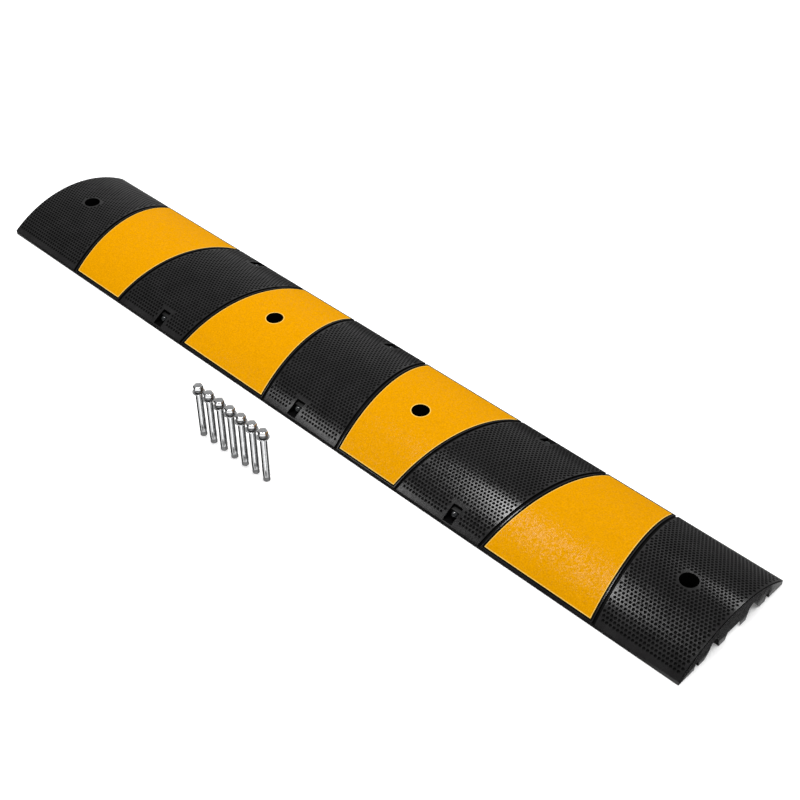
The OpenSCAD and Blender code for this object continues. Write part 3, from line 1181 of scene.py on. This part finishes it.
CAMERA_AZIMUTH = math.radians(44.418)
CAMERA_ELEVATION = math.radians(40.982)
CAMERA_ROLL = math.radians(-0.320)
CAMERA_AIM = Vector((0.1110, 0.0403, 0))
CAMERA_DISTANCE = 2.8213
CAMERA_LENS = 64.76
FLOOR_REACH = 30.0

# Radiance of the studio by the direction's Z, from straight down (0) over level (0.5) to up (1)
SKY = [(0.5, 0.40), (0.70, 0.44), (0.80, 0.36), (0.88, 0.24), (0.97, 0.14)]
# Share of that radiance by angle round Z, as a share of a turn from -X towards -Y
SKY_TURN = [
    (0.0, 0.7), (0.09, 0.2), (0.2, 0.2), (0.6, 0.8), (0.72, 0.45), (0.79, 0.42), (0.85, 1.0),
    (1.0, 0.8),
]
# The cards stand below this Z of the direction
CARDS_TOP = -0.03
# Radiance of the cards by angle round Z, as a share of a turn from -X towards -Y
CARDS = [
    (0.00, 0.4), (0.03, 0.01), (0.20, 0.01), (0.22, 0.9), (0.25, 0.9), (0.265, 0.2), (0.275, 0.2),
    (0.29, 0.9), (0.34, 1.2), (0.42, 1.2), (0.435, 0.08), (0.465, 0.08), (0.48, 0.9), (0.54, 0.9),
    (0.56, 0.01), (0.69, 0.01), (0.71, 0.6), (0.77, 0.45), (0.82, 0.06), (0.86, 0.12), (0.91, 0.6),
    (0.95, 1.1), (1.0, 0.4),
]
# Name, place, point aimed at, width, depth and radiance of each soft box
SOFTBOXES = [
    ("key_softbox", (-0.44, -0.09, 2.35), (0.1, 0, 0), 0.95, 0.40, 19.0),
    ("front_softbox", (-1.4, -1.3, 2.1), (0.1, 0, 0), 0.75, 0.35, 5.0),
    ("end_softbox", (0.14, 2.2, 2.3), (0.9, 0, 0.05), 0.3, 0.6, 9.0),
]


def make_floor():
    """Pale paper that reflections leave out, with a little light of its own to soften the shadows."""
    corners = [(x * FLOOR_REACH, y * FLOOR_REACH, 0) for x, y in ((-1, -1), (1, -1), (1, 1), (-1, 1))]
    floor = new_object("floor", corners, [(0, 1, 2, 3)])
    glow = {"Emission_Color": (1, 1, 1, 1), "Emission_Strength": 0.15}
    finish = Finish("floor_paper", Roughness=0.9, **glow)
    finish.drive("Base Color", finish.noise(3, detail=2), between(0.93, 0.95))
    floor.data.materials.append(finish.material)
    floor.visible_glossy = False


def mixed(tree, a, b, factor, blend="MIX"):
    """Mixes two colours, each of them a socket or a value, as factor is too."""
    node = tree.nodes.new("ShaderNodeMix")
    node.data_type = "RGBA"
    node.blend_type = blend
    for name, value in (("A", a), ("B", b), ("Factor", factor)):
        if isinstance(value, bpy.types.NodeSocket):
            tree.links.new(value, node.inputs[name])
        else:
            node.inputs[name].default_value = value
    return node.outputs["Result"]


def make_world():
    """Dim studio, palest low down, with pale and dark cards all round below the horizon.

    The camera sees a white backdrop instead. Light and reflections come from the studio.
    """
    world = bpy.data.worlds.new("studio")
    bpy.context.scene.world = world
    world.use_nodes = True
    tree = world.node_tree
    nodes = tree.nodes
    links = tree.links
    direction = nodes.new("ShaderNodeTexCoord").outputs["Generated"]
    split = nodes.new("ShaderNodeSeparateXYZ")
    links.new(direction, split.inputs["Vector"])
    height = nodes.new("ShaderNodeMapRange")
    height.inputs["From Min"].default_value = -1
    links.new(split.outputs["Z"], height.inputs["Value"])
    around = nodes.new("ShaderNodeTexGradient")
    around.gradient_type = "RADIAL"
    links.new(direction, around.inputs["Vector"])
    below = nodes.new("ShaderNodeMath")
    below.operation = "LESS_THAN"
    below.inputs[1].default_value = CARDS_TOP
    links.new(split.outputs["Z"], below.inputs[0])
    sky = ramp(tree, height.outputs["Result"], SKY)
    turn = ramp(tree, around.outputs["Fac"], SKY_TURN)
    cards = ramp(tree, around.outputs["Fac"], CARDS)
    shaded = mixed(tree, sky, turn, 1, "MULTIPLY")
    studio = mixed(tree, shaded, cards, below.outputs["Value"])
    to_camera = nodes.new("ShaderNodeLightPath").outputs["Is Camera Ray"]
    backdrop = mixed(tree, studio, (1, 1, 1, 1), to_camera)
    links.new(backdrop, nodes["Background"].inputs["Color"])


def hang(light, place, target):
    """Hangs a light at a place, aimed at a target."""
    lamp = add(bpy.data.objects.new(light.name, light))
    lamp.location = place
    lamp.rotation_euler = (Vector(target) - Vector(place)).to_track_quat("-Z", "Y").to_euler()
    return lamp


def softbox(name, place, target, width, depth, radiance):
    """Rectangular area light of an even radiance, aimed at a point."""
    light = bpy.data.lights.new(name, "AREA")
    light.shape = "RECTANGLE"
    light.size = width
    light.size_y = depth
    light.energy = radiance * math.pi * width * depth
    hang(light, place, target)


def fill_light(place, strength, softness):
    """Distant light that lights everything evenly and leaves no reflection."""
    light = bpy.data.lights.new("fill", "SUN")
    light.angle = softness
    light.energy = strength * math.pi
    hang(light, place, (0, 0, 0)).visible_glossy = False


def make_camera():
    """Camera at the right front, above the bump, turned a little about its own axis."""
    azimuth = CAMERA_AZIMUTH
    right = Vector((math.cos(azimuth), math.sin(azimuth), 0))
    flat = math.cos(CAMERA_ELEVATION)
    back = Vector((math.sin(azimuth) * flat, -math.cos(azimuth) * flat, math.sin(CAMERA_ELEVATION)))
    up = back.cross(right)
    rolled = right * math.cos(CAMERA_ROLL) + up * math.sin(CAMERA_ROLL)
    lens = bpy.data.cameras.new("camera")
    lens.lens = CAMERA_LENS
    lens.sensor_width = 36
    lens.clip_end = 100
    camera = add(bpy.data.objects.new("camera", lens))
    turn = Matrix((rolled, back.cross(rolled), back)).transposed().to_4x4()
    camera.matrix_world = Matrix.Translation(CAMERA_AIM + back * CAMERA_DISTANCE) @ turn
    bpy.context.scene.camera = camera


bpy.context.scene.view_settings.view_transform = "Standard"
make_camera()
make_floor()
make_world()
for box in SOFTBOXES:
    softbox(*box)
fill_light(place=(0.1, 0.0, 1.0), strength=1.0, softness=math.radians(50))
build_moulding()
build_films()
build_reflectors()
build_anchors()
